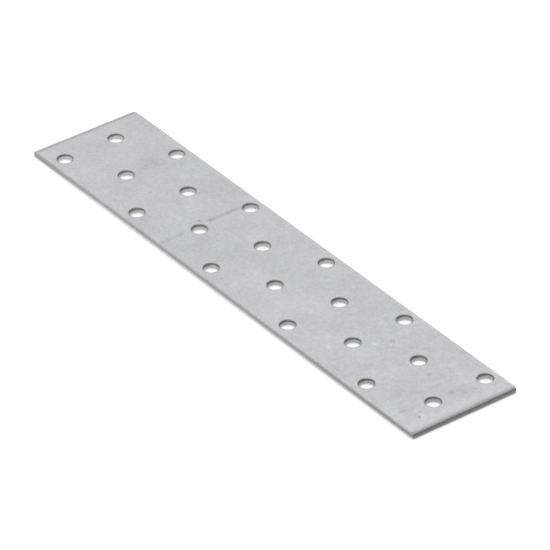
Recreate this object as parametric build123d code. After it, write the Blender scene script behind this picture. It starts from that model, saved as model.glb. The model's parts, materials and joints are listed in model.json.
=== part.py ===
from build123d import *
from math import floor
import os

# Nail plate for joining timbers: one flat piece of galvanised steel strip, slit to width, punched
# with staggered nail holes and cropped to length. The punches and the blades come down on the top
# face, so each hole and edge has a shoulder rolled over at the top, a straight land below it and a
# foot that is torn back towards the underside.
# Millimetres. Origin at the middle of the underside, +X along the strip, +Y across it, +Z up.

# Strip
length = 200.0
width = 40.0
thickness = 2.0

# Nail holes
hole_diameter = 5.0
row_pitch = 20.0  # along the strip, from one row of holes to the next
line_pitch = 10.0  # across the strip, from one line of holes to the next
shift_along = 0.3  # the punching runs this far off the middle of the strip, towards +X
shift_across = 0.4  # and this far towards +Y

# Shoulders: how far each rolls back over the top face, and how far it drops there
hole_roll_run = 0.5
hole_roll_drop = 0.35
side_roll_run = 0.6
side_roll_drop = 0.35
end_roll_run = 2.0
end_roll_drop = 0.6

# Torn feet: how far each steps back at the underside, and how high up the wall it starts
hole_tear_run = 0.15
hole_tear_rise = 0.7
side_tear_run = 0.1
side_tear_rise = 0.8
end_tear_run = 0.12
end_tear_rise = 0.8


def cut_edge(place, inwards, roll_run, roll_drop, tear_run, tear_rise):
    """Section of a cut edge, drawn upwards. inwards, +1 or -1, is the way from its place into the steel."""
    land_top = thickness - roll_drop
    foot = Line((place + inwards * tear_run, 0), (place, tear_rise))
    land = Line((place, tear_rise), (place, land_top))
    shoulder = EllipticalCenterArc(
        (place + inwards * roll_run, land_top),
        roll_run,
        roll_drop,
        start_angle=90 + 90 * inwards,
        arc_size=-90 * inwards,
    )
    return Curve() + [foot, land, shoulder]


def strip_between_cuts(plane, overall, depth, *zones):
    """Strip with a cut edge at each end of its overall size, carried straight through its depth."""
    left = cut_edge(-overall / 2, 1, *zones)
    right = cut_edge(overall / 2, -1, *zones)
    section = make_face(left + right + Line(left @ 0, right @ 0) + Line(left @ 1, right @ 1))
    return extrude(plane * section, amount=depth / 2, both=True)


def punched_hole():
    """What the punch leaves open, carried past both faces. So short a shoulder is a plain bevel here."""
    radius = hole_diameter / 2
    foot_radius = radius + hole_tear_run
    rim_radius = radius + hole_roll_run
    section = Polyline(
        (0, -thickness),
        (foot_radius, -thickness),
        (foot_radius, 0),
        (radius, hole_tear_rise),
        (radius, thickness - hole_roll_drop),
        (rim_radius, thickness),
        (rim_radius, 2 * thickness),
        (0, 2 * thickness),
        close=True,
    )
    return revolve(Plane.XZ * make_face(section), Axis.Z)


def whole_pitches(span, pitch):
    """How many holes fit along a span, each with a full pitch of steel to itself."""
    return floor(round(span / pitch, 6))


def nail_hole_places():
    """Where the holes go: every second place of a grid, as the squares of one colour lie on a chessboard."""
    rows = whole_pitches(length, row_pitch)
    lines = whole_pitches(width, line_pitch)
    first_row = shift_along - (rows - 1) / 2 * row_pitch
    first_line = shift_across - (lines - 1) / 2 * line_pitch
    return [
        Pos(first_row + row * row_pitch, first_line + line * line_pitch)
        for row in range(rows)
        for line in range(row % 2, lines, 2)
    ]


def mending_plate():
    """The finished plate: cropped at its ends, slit at its sides, and punched."""
    cropped = strip_between_cuts(
        Plane.XZ, length, width, end_roll_run, end_roll_drop, end_tear_run, end_tear_rise
    )
    slit = strip_between_cuts(
        Plane.YZ, width, length, side_roll_run, side_roll_drop, side_tear_run, side_tear_rise
    )
    hole = punched_hole()
    return (cropped & slit) - [place * hole for place in nail_hole_places()]


os.makedirs("parts", exist_ok=True)
export_step(mending_plate(), "parts/mending_plate.step")
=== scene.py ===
import json
import math
import random

import bpy
from mathutils import Matrix, Vector


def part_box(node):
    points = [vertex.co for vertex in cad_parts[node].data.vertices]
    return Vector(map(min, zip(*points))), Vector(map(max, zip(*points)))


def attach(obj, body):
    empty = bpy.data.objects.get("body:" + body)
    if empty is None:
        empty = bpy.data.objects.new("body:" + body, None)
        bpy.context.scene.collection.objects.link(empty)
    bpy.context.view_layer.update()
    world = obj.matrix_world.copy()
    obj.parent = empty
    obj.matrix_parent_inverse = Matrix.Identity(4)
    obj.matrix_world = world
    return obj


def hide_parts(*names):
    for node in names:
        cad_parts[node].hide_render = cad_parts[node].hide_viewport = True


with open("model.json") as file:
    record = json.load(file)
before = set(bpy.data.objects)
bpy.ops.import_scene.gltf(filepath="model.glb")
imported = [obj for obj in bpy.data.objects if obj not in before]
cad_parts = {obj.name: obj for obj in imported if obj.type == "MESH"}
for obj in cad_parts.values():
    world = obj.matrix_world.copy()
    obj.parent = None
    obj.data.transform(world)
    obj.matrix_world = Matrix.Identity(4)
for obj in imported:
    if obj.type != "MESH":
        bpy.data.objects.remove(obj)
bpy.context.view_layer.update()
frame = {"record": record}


# ---------------------------------------------------------------------------
# The strip: galvanised steel sheet, slit to width and cropped to length. The blades come down on the
# top face, so each edge is rolled over at the top, sheared straight below that and torn at the foot.
# The crop bends the last few millimetres of each end down, where slitting only rounds the corner.

low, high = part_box("mending_plate")
length = high.x - low.x
width = high.y - low.y
thickness = high.z - low.z

end_roll_run = 0.0034
end_roll_drop = 0.0007
end_roll_onset = 2.6
end_roll_lip = 1.6
end_tear_run = 0.00006
end_tear_rise = 0.0008

side_roll_run = 0.0006
side_roll_drop = 0.00035
side_roll_onset = 2.0
side_roll_lip = 2.0
side_tear_run = 0.0001
side_tear_rise = 0.0008

corner_radius = 0.0008
corner_segments = 4
sheet_cell = 0.001


def setback(height, roll_run, roll_drop, onset, lip, tear_run, tear_rise):
    """How far a cut edge stands back from its full size at a height above the underside.

    An onset and a lip of 2 make the roll a quarter ellipse. A higher onset bends it down later,
    and a lower lip leaves it less steep where it meets the wall.
    """
    if height < tear_rise:
        return tear_run * (1 - height / tear_rise)
    up_the_roll = max(0.0, (height - (thickness - roll_drop)) / roll_drop)
    return roll_run * (1 - max(0.0, 1 - up_the_roll ** lip) ** (1 / onset))


def length_at(height):
    """Length of the strip at a height above the underside."""
    shape = (end_roll_run, end_roll_drop, end_roll_onset, end_roll_lip, end_tear_run, end_tear_rise)
    return length - 2 * setback(height, *shape)


def width_at(height):
    """Width of the strip at a height above the underside."""
    shape = (
        side_roll_run, side_roll_drop, side_roll_onset, side_roll_lip, side_tear_run, side_tear_rise
    )
    return width - 2 * setback(height, *shape)


# The wall has rings of points up the torn foot, one on the land, and the rest round the roll.
wall_heights = [0.0, 0.0002, 0.0004, 0.0006, side_tear_rise, 0.0011]
for degrees in (0, 10, 20, 30, 40, 50, 60, 70, 80, 85, 90):
    wall_heights.append(thickness - end_roll_drop * (1 - math.sin(math.radians(degrees))))

bpy.ops.object.select_all(action="DESELECT")
bpy.ops.mesh.primitive_grid_add(
    x_subdivisions=round(length / sheet_cell), y_subdivisions=round(width / sheet_cell), size=1
)
plate = bpy.context.object
plate.name = "plate"
plate.scale = (length_at(0), width_at(0), 1)
bpy.ops.object.transform_apply(scale=True)

bpy.ops.object.mode_set(mode="EDIT")
bpy.ops.mesh.select_mode(type="VERT")
bpy.ops.mesh.select_all(action="DESELECT")
bpy.ops.object.mode_set(mode="OBJECT")
for point in plate.data.vertices:
    from_end = length_at(0) / 2 - abs(point.co.x)
    from_side = width_at(0) / 2 - abs(point.co.y)
    point.select = max(from_end, from_side) < sheet_cell / 2
bpy.ops.object.mode_set(mode="EDIT")
bpy.ops.mesh.bevel(affect="VERTICES", offset=corner_radius, segments=corner_segments)
bpy.ops.mesh.select_all(action="SELECT")
for below, above in zip(wall_heights, wall_heights[1:]):
    bpy.ops.mesh.extrude_region_move(TRANSFORM_OT_translate={"value": (0, 0, above - below)})
    grow = (length_at(above) / length_at(below), width_at(above) / width_at(below), 1)
    bpy.ops.transform.resize(value=grow, center_override=(0, 0, 0))
bpy.ops.mesh.select_all(action="SELECT")
bpy.ops.mesh.normals_make_consistent(inside=False)
bpy.ops.object.mode_set(mode="OBJECT")


# ---------------------------------------------------------------------------
# The nail holes. Round holes punched from the top face in staggered rows, each with the same three
# zones as the sheared edges: a small rolled shoulder, a straight land and a torn, wider foot. The
# punch here is what each hole leaves open, and reaches past both faces.

nail_holes = [mount for mount in frame["record"]["mounts"] if mount["kind"] == "bore"]
hole_radius = nail_holes[0]["dims"]["r_mm"] / 1000
hole_roll_run = 0.0006
hole_roll_drop = 0.00035
hole_tear_run = 0.00015
hole_tear_rise = 0.0007
hole_sides = 96
reach_below = 0.0003
reach_above = 0.0005


def hole_radius_at(height):
    """Radius of a punched hole at a height above the underside."""
    if height < hole_tear_rise:
        return hole_radius + hole_tear_run * (1 - height / hole_tear_rise)
    up_the_roll = max(0.0, (height - (thickness - hole_roll_drop)) / hole_roll_drop)
    return hole_radius + hole_roll_run * (1 - math.sqrt(max(0.0, 1 - up_the_roll ** 2)))


foot_heights = (-reach_below, 0.0002, 0.00045, hole_tear_rise)
land_heights = (0.001, 0.0013)
punch_rings = [(height, hole_radius_at(height)) for height in foot_heights + land_heights]
for degrees in (0, 12, 24, 36, 48, 60, 72, 84):
    height = thickness - hole_roll_drop * (1 - math.sin(math.radians(degrees)))
    punch_rings.append((height, hole_radius_at(height)))
# Past the last ring the shoulder runs on at the same slope through the top face, then straight up.
last_height, last_radius = punch_rings[-1]
rim_slope = (thickness - last_height) / (hole_radius + hole_roll_run - last_radius)
flare = 0.0003
punch_rings.append((last_height + flare * rim_slope, last_radius + flare))
punch_rings.append((thickness + reach_above, last_radius + flare))

bpy.ops.object.select_all(action="DESELECT")
bpy.ops.mesh.primitive_circle_add(
    vertices=hole_sides, radius=punch_rings[0][1], fill_type="NGON", location=(0, 0, punch_rings[0][0])
)
punch = bpy.context.object
bpy.ops.object.transform_apply(location=True)
bpy.ops.object.mode_set(mode="EDIT")
bpy.ops.mesh.select_all(action="SELECT")
for (below, narrow), (above, wide) in zip(punch_rings, punch_rings[1:]):
    bpy.ops.mesh.extrude_region_move(TRANSFORM_OT_translate={"value": (0, 0, above - below)})
    bpy.ops.transform.resize(value=(wide / narrow, wide / narrow, 1), center_override=(0, 0, 0))
bpy.ops.mesh.select_all(action="SELECT")
bpy.ops.mesh.normals_make_consistent(inside=False)
bpy.ops.object.mode_set(mode="OBJECT")

# Each stroke is turned by chance, so that the facets of the holes don't line up.
turns = random.Random(3)
punches = []
for mount in nail_holes:
    bpy.ops.object.select_all(action="DESELECT")
    punch.select_set(True)
    bpy.context.view_layer.objects.active = punch
    bpy.ops.object.duplicate()
    stroke = bpy.context.object
    stroke.location = (mount["pos_m"][0], mount["pos_m"][1], 0)
    stroke.rotation_euler = (0, 0, turns.uniform(0, math.tau))
    bpy.ops.object.transform_apply(location=True, rotation=True)
    punches.append(stroke)
bpy.data.objects.remove(punch)
bpy.ops.object.select_all(action="DESELECT")
for stroke in punches:
    stroke.select_set(True)
bpy.context.view_layer.objects.active = punches[0]
bpy.ops.object.join()
punches = bpy.context.object

bpy.ops.object.select_all(action="DESELECT")
plate.select_set(True)
bpy.context.view_layer.objects.active = plate
punching = plate.modifiers.new("punching", "BOOLEAN")
punching.operation = "DIFFERENCE"
punching.solver = "EXACT"
punching.object = punches
bpy.ops.object.modifier_apply(modifier=punching.name)
bpy.data.objects.remove(punches)

bpy.ops.object.mode_set(mode="EDIT")
bpy.ops.mesh.select_all(action="SELECT")
bpy.ops.mesh.remove_doubles(threshold=0.000002)
bpy.ops.mesh.normals_make_consistent(inside=False)
bpy.ops.mesh.select_all(action="DESELECT")
bpy.ops.object.mode_set(mode="OBJECT")


# ---------------------------------------------------------------------------
# The torn feet. Where the steel tore instead of shearing, the wall is rough and lies behind the
# sheared land, so its points are only ever pushed into the steel.

flattest_wall = 0.7  # the most that a wall's normal points up or down
tear_depth = 0.00012
smooth_angle = math.radians(35)

torn = plate.vertex_groups.new(name="torn_foot")
torn_points = set()
for face in plate.data.polygons:
    if abs(face.normal.z) < flattest_wall and face.center.z < side_tear_rise:
        torn_points.update(v for v in face.vertices if plate.data.vertices[v].co.z < side_tear_rise)
torn.add(sorted(torn_points), 1.0, "REPLACE")
grain = bpy.data.textures.new("torn_grain", "CLOUDS")
grain.noise_scale = 0.0009
grain.noise_depth = 3
tearing = plate.modifiers.new("tearing", "DISPLACE")
tearing.texture = grain
tearing.texture_coords = "LOCAL"
tearing.vertex_group = torn.name
tearing.direction = "NORMAL"
tearing.mid_level = 1.0
tearing.strength = tear_depth
bpy.ops.object.modifier_apply(modifier=tearing.name)

bpy.ops.object.shade_smooth_by_angle(angle=smooth_angle)
weighted = plate.modifiers.new("weighted_normals", "WEIGHTED_NORMAL")
weighted.keep_sharp = True
bpy.ops.object.modifier_apply(modifier=weighted.name)


# ---------------------------------------------------------------------------
# The zinc. A hot-dip coat on both faces and over the rolled edges: satin grey with a fine spangle,
# faint draw lines along the strip, specks of dross, and the marks it got in the bath and in handling.


def add(tree, kind, sockets=None, **settings):
    """A new node. sockets gives its inputs, by name or number, a value or an output to feed them."""
    new = tree.nodes.new("ShaderNode" + kind)
    for name, value in settings.items():
        setattr(new, name, value)
    for key, value in (sockets or {}).items():
        if isinstance(value, bpy.types.NodeSocket):
            tree.links.new(value, new.inputs[key])
        else:
            new.inputs[key].default_value = value
    return new


def calculate(tree, operation, *values):
    """The result of a Math node on values or outputs."""
    return add(tree, "Math", dict(enumerate(values)), operation=operation).outputs[0]


def rescale(tree, value, low_in, high_in, low_out, high_out, shape="LINEAR"):
    """A value brought from one range to another, and kept inside it."""
    sockets = {0: value, 1: low_in, 2: high_in, 3: low_out, 4: high_out}
    return add(tree, "MapRange", sockets, interpolation_type=shape).outputs[0]


def stretched(tree, place, stretch):
    """The place, stretched along each axis, for a pattern with a grain to it."""
    return add(tree, "VectorMath", {0: place, 1: stretch}, operation="MULTIPLY").outputs[0]


def noise(tree, place, scale, detail=3.0, roughness=0.5):
    """Cloudy noise with about scale clouds to the metre."""
    sockets = {"Vector": place, "Scale": scale, "Detail": detail, "Roughness": roughness}
    return add(tree, "TexNoise", sockets).outputs["Fac"]


def spot(tree, place, centre, reach, rim):
    """1 at the centre of a soft spot, 0 past its reach along X and Y. rim makes its edge ragged."""
    offset = add(tree, "VectorMath", {0: place, 1: (*centre, 0)}, operation="SUBTRACT").outputs[0]
    flat = stretched(tree, offset, (1 / reach[0], 1 / reach[1], 0))
    distance = add(tree, "VectorMath", {0: flat}, operation="LENGTH").outputs["Value"]
    return rescale(tree, calculate(tree, "ADD", distance, rim), 1.0, 0.0, 0.0, 1.0, "SMOOTHSTEP")


zinc = bpy.data.materials.new("zinc_spangle")
zinc.use_nodes = True
tree = zinc.node_tree
shader = tree.nodes["Principled BSDF"]
shader.inputs["Metallic"].default_value = 1.0
place = add(tree, "TexCoord").outputs["Object"]
parts = add(tree, "SeparateXYZ", {0: place}).outputs
x, y = parts["X"], parts["Y"]

crystals = add(tree, "TexVoronoi", {"Vector": place, "Scale": 1500.0})
crystal_tone = add(tree, "SeparateXYZ", {0: crystals.outputs["Color"]}).outputs["X"]
cloud = noise(tree, place, 60.0, 6.0, 0.65)
mottle = noise(tree, place, 700.0, 4.0, 0.6)
draw_lines = noise(tree, stretched(tree, place, (30.0, 1400.0, 1.0)), 1.0, 4.0, 0.6)
tint = noise(tree, place, 45.0, 2.0)
blotches = noise(tree, place, 400.0, 2.0)

dross = add(tree, "TexVoronoi", {"Vector": place, "Scale": 260.0, "Randomness": 1.0})
specks = rescale(tree, dross.outputs["Distance"], 0.16, 0.08, 0.0, 1.0, "SMOOTHSTEP")
rare = add(tree, "SeparateXYZ", {0: dross.outputs["Color"]}).outputs["Y"]
specks = calculate(tree, "MULTIPLY", specks, rescale(tree, rare, 0.72, 0.8, 0.0, 1.0))

# What the bath and handling left on the upper face of this plate: dark smudges and specks, and paler
# spots. Each has a centre, a reach along X and Y, and a weight, below zero for the paler ones.
marks = 0.0
rim = rescale(tree, mottle, 0.3, 0.7, -0.35, 0.35)
for centre, reach, weight in (
    ((-0.0718, 0.0062), (0.0060, 0.0052), 0.40),
    ((-0.0700, 0.0068), (0.0018, 0.0016), 0.50),
    ((-0.0693, 0.0032), (0.0018, 0.0014), 0.50),
    ((-0.0592, 0.0057), (0.0024, 0.0009), 0.50),
    ((-0.0472, -0.0005), (0.0010, 0.0018), 0.50),
    ((-0.0335, -0.0019), (0.0009, 0.0009), 1.20),
    ((-0.0317, 0.0010), (0.0012, 0.0012), 0.70),
    ((0.0350, -0.0072), (0.0014, 0.0014), 0.60),
    ((0.0572, 0.0055), (0.0013, 0.0020), 0.80),
    ((0.0637, -0.0075), (0.0013, 0.0013), 0.60),
    ((0.0783, 0.0032), (0.0014, 0.0013), 0.90),
    ((0.0885, -0.0150), (0.0016, 0.0020), 0.70),
    ((0.0905, 0.0055), (0.0062, 0.0062), 0.40),
    ((0.0922, 0.0062), (0.0016, 0.0013), 0.70),
    ((0.0902, 0.0027), (0.0015, 0.0012), 0.60),
    ((0.0943, -0.0121), (0.0024, 0.0020), -0.55),
    ((0.0941, -0.0127), (0.0010, 0.0008), 2.10),
    ((0.0472, 0.0090), (0.0014, 0.0013), -0.55),
    ((0.0552, 0.0002), (0.0014, 0.0012), -0.70),
    ((0.0476, -0.0120), (0.0014, 0.0014), -0.55),
    ((0.0655, -0.0163), (0.0012, 0.0014), -0.80),
):
    mark = spot(tree, place, centre, reach, rim)
    marks = calculate(tree, "MULTIPLY_ADD", mark, weight, marks)

# A dark line rubbed across the upper face, in two lengths either side of a hole. Each has its place
# along the strip and its start and end across it.
line_reach = 0.0014
start_fade = 0.0006
end_fade = 0.0012
wander = rescale(tree, noise(tree, place, 150.0, 2.0), 0.3, 0.7, -0.00025, 0.00025)
line = 0.0
for along, start, end in ((-0.0317, 0.0003, 0.0130), (-0.0308, -0.0190, -0.0100)):
    offset = calculate(tree, "ADD", calculate(tree, "SUBTRACT", x, along), wander)
    from_line = calculate(tree, "ABSOLUTE", offset)
    rubbed = rescale(tree, from_line, line_reach, 0.0, 0.0, 1.0, "SMOOTHSTEP")
    past_start = rescale(tree, y, start - start_fade, start + start_fade, 0.0, 1.0)
    before_end = rescale(tree, y, end + end_fade, end - end_fade, 0.0, 1.0)
    stretch = calculate(tree, "MULTIPLY", past_start, before_end)
    line = calculate(tree, "MULTIPLY_ADD", stretch, rubbed, line)
pressure = rescale(tree, noise(tree, place, 300.0, 2.0), 0.35, 0.5, 0.55, 1.0)
line = calculate(tree, "MULTIPLY", line, pressure)

upper_face = rescale(tree, parts["Z"], 0.0005, 0.0015, 0.0, 1.0)
marks = calculate(tree, "MULTIPLY", marks, upper_face)
line = calculate(tree, "MULTIPLY", line, upper_face)

# The tone starts as the spangle's and is multiplied by these: painted light that is paler towards +X,
# a paler stretch near the -X end, a painted highlight over the bend of the +X end, painted shade on
# the rolled edge at -X and a painted highlight on the rolled edge at +Y, and then each pattern and
# mark. The blotches grow stronger towards +X.
uneven = rescale(tree, x, 0.02, 0.06, 0.006, 0.034)
blotched = rescale(tree, blotches, 0.32, 0.68, -1.0, 1.0)
tone = rescale(tree, crystal_tone, 0.0, 1.0, 0.94, 1.06)
for factor in (
    rescale(tree, x, -0.02, 0.08, 0.995, 1.02),
    rescale(tree, x, -0.1, -0.08, 1.035, 1.0),
    rescale(tree, x, length / 2 - 0.006, length / 2 - 0.004, 1.0, 1.055, "SMOOTHSTEP"),
    rescale(tree, x, -length / 2 + 0.0016, -length / 2 + 0.0024, 0.9, 1.0),
    rescale(tree, y, width / 2 - 0.0009, width / 2 - 0.0003, 1.0, 1.2),
    rescale(tree, cloud, 0.3, 0.7, 0.93, 1.07),
    rescale(tree, mottle, 0.3, 0.7, 0.95, 1.045),
    rescale(tree, draw_lines, 0.3, 0.7, 0.985, 1.015),
    calculate(tree, "MULTIPLY_ADD", marks, -0.20, 1.0),
    calculate(tree, "MULTIPLY_ADD", blotched, uneven, 1.0),
    rescale(tree, specks, 0.0, 1.0, 1.0, 0.86),
    rescale(tree, line, 0.0, 1.0, 1.0, 0.78),
):
    tone = calculate(tree, "MULTIPLY", tone, factor)

blue_grey = (0.597, 0.604, 0.612, 1.0)
violet_grey = (0.606, 0.597, 0.622, 1.0)
tinted = rescale(tree, tint, 0.35, 0.65, 0.0, 1.0)
hue = add(tree, "Mix", {0: tinted, 6: blue_grey, 7: violet_grey}, data_type="RGBA")
colour = add(tree, "VectorMath", {0: hue.outputs[2], "Scale": tone}, operation="SCALE")
tree.links.new(colour.outputs[0], shader.inputs["Base Color"])

dullness = rescale(tree, mottle, 0.3, 0.7, 0.27, 0.37)
dullness = calculate(tree, "MULTIPLY_ADD", marks, 0.03, dullness)
tree.links.new(dullness, shader.inputs["Roughness"])

relief = calculate(tree, "MULTIPLY", mottle, 1.2)
for pattern, share in (
    (crystals.outputs["Distance"], 0.5),
    (draw_lines, 0.3),
    (specks, -0.8),
    (line, -0.6),
):
    relief = calculate(tree, "MULTIPLY_ADD", pattern, share, relief)
bump = add(tree, "Bump", {"Strength": 0.3, "Distance": 0.00005, "Height": relief})
tree.links.new(bump.outputs["Normal"], shader.inputs["Normal"])
plate.data.materials.clear()
plate.data.materials.append(zinc)


# ---------------------------------------------------------------------------
# The bare steel of the cut walls, in bands: a burnished one under the zinc lip, then the land, then
# the torn foot, which is a paler, matt grey with a ragged top. On the slit and cropped walls the foot
# pales further towards the table, a painted reflection of the white paper, and in the holes the dark
# burnish is partly painted shade under the rim. The cropped ends have darker walls.

# Walls that face this way get a deeper dark burnish band: painted shade on that side of each hole.
shaded_side = (0.59, 0.81, 0.0)


def cut_steel(name, burnish_and_shade_tone, land_tone, foot_tone, table_reflection_tone, uneven=0.0, ends=(1.0, 1.0)):
    """A cut wall in bands from the lip down to the table, with ragged borders between them.

    The tones are those of the burnish, of the land, and of the foot at its top and at the table. The
    burnish tone is partly painted shade under the rim, and a paler tone at the table is a painted
    reflection of the white paper.
    uneven is how much deeper the dark burnish goes on a wall that faces along the shaded side: painted
    shade on that side of each hole. ends is the share of the tone that is left at the two ends of the
    strip: of land and foot at -X, and of land alone at +X.
    """
    steel = bpy.data.materials.new(name)
    steel.use_nodes = True
    tree = steel.node_tree
    shader = tree.nodes["Principled BSDF"]
    shader.inputs["Metallic"].default_value = 1.0
    place = add(tree, "TexCoord").outputs["Object"]
    facing = add(tree, "TexCoord").outputs["Normal"]
    parts = add(tree, "SeparateXYZ", {0: place}).outputs
    grit = noise(tree, place, 2600.0, 4.0, 0.65)
    ragged = rescale(tree, noise(tree, place, 700.0, 3.0), 0.3, 0.7, -0.00018, 0.00018)
    height = calculate(tree, "ADD", parts["Z"], ragged)
    # Painted shade: the dark burnish reaches deeper on walls that face the shaded side.
    toward_shade = add(tree, "VectorMath", {0: facing, 1: shaded_side}, operation="DOT_PRODUCT")
    height = calculate(tree, "MULTIPLY_ADD", toward_shade.outputs["Value"], uneven, height)
    # The foot gives way to the land from 0.7 to 1 mm up, and the land to the burnish just above that.
    torn_share = rescale(tree, height, 0.0010, 0.0007, 0.0, 1.0, "SMOOTHSTEP")
    far_end = rescale(tree, parts["X"], -0.095, -0.060, ends[0], 1.0)
    near_end = rescale(tree, parts["X"], 0.066, 0.080, 1.0, ends[1])
    # The foot pales from its top down to the table: a painted reflection of the white paper.
    foot = rescale(tree, parts["Z"], 0.0, side_tear_rise, table_reflection_tone, foot_tone)
    foot = calculate(tree, "MULTIPLY", foot, far_end)
    land = calculate(tree, "MULTIPLY", calculate(tree, "MULTIPLY", far_end, near_end), land_tone)
    upper = rescale(tree, height, 0.00105, 0.00135, land, burnish_and_shade_tone, "SMOOTHSTEP")
    tone = add(tree, "Mix", {0: torn_share, 2: upper, 3: foot}).outputs[0]
    # Grit varies the tone, and it falls steadily from the -X end to the +X end.
    for factor in (
        rescale(tree, grit, 0.3, 0.7, 0.9, 1.1),
        rescale(tree, parts["X"], -length / 2, length / 2, 1.13, 0.84),
    ):
        tone = calculate(tree, "MULTIPLY", tone, factor)
    colour = add(tree, "VectorMath", {0: (1.0, 0.99, 0.975), "Scale": tone}, operation="SCALE")
    tree.links.new(colour.outputs[0], shader.inputs["Base Color"])
    tree.links.new(rescale(tree, torn_share, 0.0, 1.0, 0.34, 0.55), shader.inputs["Roughness"])
    relief = calculate(tree, "MULTIPLY", grit, torn_share)
    bump = add(tree, "Bump", {"Strength": 0.5, "Distance": 0.00005, "Height": relief})
    tree.links.new(bump.outputs["Normal"], shader.inputs["Normal"])
    return steel


plate.data.materials.append(cut_steel("slit_steel", 0.30, 0.39, 0.54, 0.78, ends=(0.56, 0.74)))
plate.data.materials.append(cut_steel("cropped_steel", 0.31, 0.18, 0.25, 0.50))
# The dark burnish of the holes is partly the bare steel under the lip and partly painted shade under
# the rim.
plate.data.materials.append(cut_steel("punched_steel", 0.20, 0.46, 0.55, 0.55, uneven=0.00035))

# The zinc wraps over each roll as far as a slope that differs between the ends, sides and holes.
zinc_slot, slit_slot, cropped_slot, punched_slot = range(4)
end_lip_slope, side_lip_slope, hole_lip_slope = 0.13, 0.5, 0.25
end_reach = 0.0012
side_reach = 0.0008
for face in plate.data.polygons:
    slope = 1 - abs(face.normal.z)
    at_end = abs(face.center.x) > length / 2 - end_reach
    if at_end and abs(face.normal.x) > abs(face.normal.y):
        face.material_index = cropped_slot if slope > end_lip_slope else zinc_slot
    elif abs(face.center.y) > width / 2 - side_reach:
        face.material_index = slit_slot if slope > side_lip_slope else zinc_slot
    elif slope > hole_lip_slope:
        face.material_index = punched_slot

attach(plate, "root")
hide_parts("mending_plate")


# ---------------------------------------------------------------------------
# The table it lies on: plain white paper, which glows enough to stay white round the plate's own
# shadow. Close to the steel the glow that the camera sees is dimmed where little light gets in, a
# painted contact shadow. From below it can be seen through.

bpy.ops.object.select_all(action="DESELECT")
bpy.ops.mesh.primitive_plane_add(size=6, location=(0, 0, 0))
floor = bpy.context.object
floor.name = "floor"
paper_tone = 0.75
paper_glow = 0.66
crevice_reach = 0.0007
paper = bpy.data.materials.new("white_paper")
paper.use_nodes = True
tree = paper.node_tree
shader = tree.nodes["Principled BSDF"]
shader.inputs["Base Color"].default_value = (paper_tone, paper_tone, paper_tone, 1.0)
shader.inputs["Roughness"].default_value = 1.0
shader.inputs["Specular IOR Level"].default_value = 0.0
rays = add(tree, "LightPath").outputs
# A painted contact shadow: near the steel the glow dims for camera rays only.
crevice = add(tree, "AmbientOcclusion", {"Distance": crevice_reach}, samples=16).outputs["AO"]
bounced = calculate(tree, "SUBTRACT", 1.0, rays["Is Camera Ray"])
dimmed = calculate(tree, "MAXIMUM", crevice, bounced)
glow = add(tree, "Emission", {"Strength": calculate(tree, "MULTIPLY", dimmed, paper_glow)})
glowing = add(tree, "AddShader", {0: shader.outputs[0], 1: glow.outputs[0]})
seen = calculate(tree, "MAXIMUM", rays["Is Camera Ray"], rays["Is Glossy Ray"])
seen = calculate(tree, "MAXIMUM", seen, rays["Is Transmission Ray"])
lit = add(tree, "MixShader", {0: seen, 1: shader.outputs[0], 2: glowing.outputs[0]})
clear = add(tree, "BsdfTransparent")
from_below = add(tree, "NewGeometry").outputs["Backfacing"]
sheet = add(tree, "MixShader", {0: from_below, 1: lit.outputs[0], 2: clear.outputs[0]})
tree.links.new(sheet.outputs[0], tree.nodes["Material Output"].inputs["Surface"])
floor.data.materials.append(paper)


# ---------------------------------------------------------------------------
# The light of a plain white room. Metal shows little but reflections, so parts of the room have their
# own strength over an even light: two lamps, two pale walls, a darker ceiling, a brighter horizon.

world = bpy.data.worlds.new("studio")
bpy.context.scene.world = world
world.use_nodes = True
tree = world.node_tree
room = tree.nodes["Background"]
room.inputs["Color"].default_value = (1.0, 1.0, 1.0, 1.0)
way = add(tree, "TexCoord").outputs["Generated"]


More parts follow.
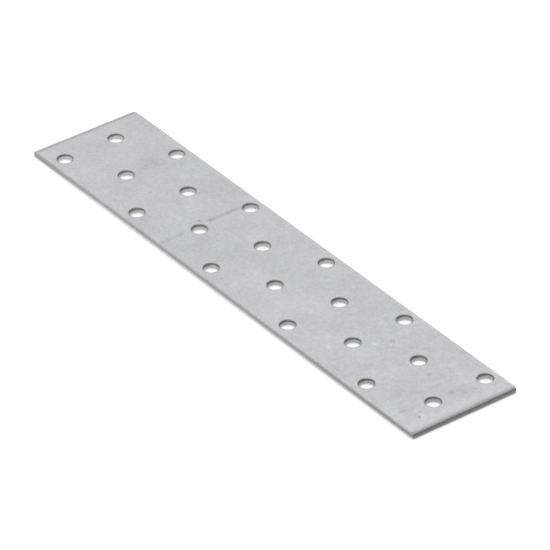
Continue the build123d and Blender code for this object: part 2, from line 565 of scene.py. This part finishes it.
def soft_light(centre, narrowness, strength):
    """Light that is strongest from one side and falls off all round it."""
    sockets = {0: way, 1: Vector(centre).normalized()}
    toward = add(tree, "VectorMath", sockets, operation="DOT_PRODUCT").outputs["Value"]
    facing = calculate(tree, "MAXIMUM", toward, 0.0)
    return calculate(tree, "MULTIPLY", calculate(tree, "POWER", facing, narrowness), strength)


even_light = 0.48
horizon_light = 0.4
horizon_height = 0.14
brightness = even_light
for centre, narrowness, strength in (
    ((-0.62, 0.46, 0.68), 14.0, 0.64),  # the main lamp, behind the plate
    ((-1.0, -0.5, 0.5), 3.0, 0.16),  # a pale wall on the left
    ((0.25, 0.35, 0.9), 4.0, -0.14),  # a darker stretch of ceiling on the right
    ((0.0, -0.15, 0.99), 24.0, 0.28),  # a small lamp overhead
    ((0.6, -0.65, 0.45), 3.0, 0.30),  # a pale wall behind the camera
):
    brightness = calculate(tree, "ADD", soft_light(centre, narrowness, strength), brightness)
up = add(tree, "SeparateXYZ", {0: way}).outputs["Z"]
horizon = rescale(tree, up, 0.0, horizon_height, horizon_light, 0.0, "SMOOTHSTEP")
brightness = calculate(tree, "ADD", brightness, horizon)
backdrop = calculate(tree, "MAXIMUM", add(tree, "LightPath").outputs["Is Camera Ray"], brightness)
tree.links.new(backdrop, room.inputs["Strength"])


# ---------------------------------------------------------------------------
# The camera. It looks down on the plate from beyond the corner at +X and -Y, through a long lens, so
# the strip hardly narrows towards its far end.

camera_turn = math.radians(54.126)
camera_height = math.radians(33.904)
camera_roll = math.radians(-1.257)
camera_distance = 1.7544
looked_at = Vector((0.0035688, 0.0003392, 0.0))

bpy.ops.object.select_all(action="DESELECT")
bpy.ops.object.camera_add()
camera = bpy.context.object
camera.data.lens = 367.91
camera.data.sensor_width = 36.0
camera.data.clip_end = 20.0
camera.matrix_world = (
    Matrix.Translation(looked_at)
    @ Matrix.Rotation(camera_turn, 4, "Z")
    @ Matrix.Rotation(math.pi / 2 - camera_height, 4, "X")
    @ Matrix.Rotation(camera_roll, 4, "Z")
    @ Matrix.Translation((0, 0, camera_distance))
)
bpy.context.scene.camera = camera
bpy.context.scene.view_settings.view_transform = "Standard"
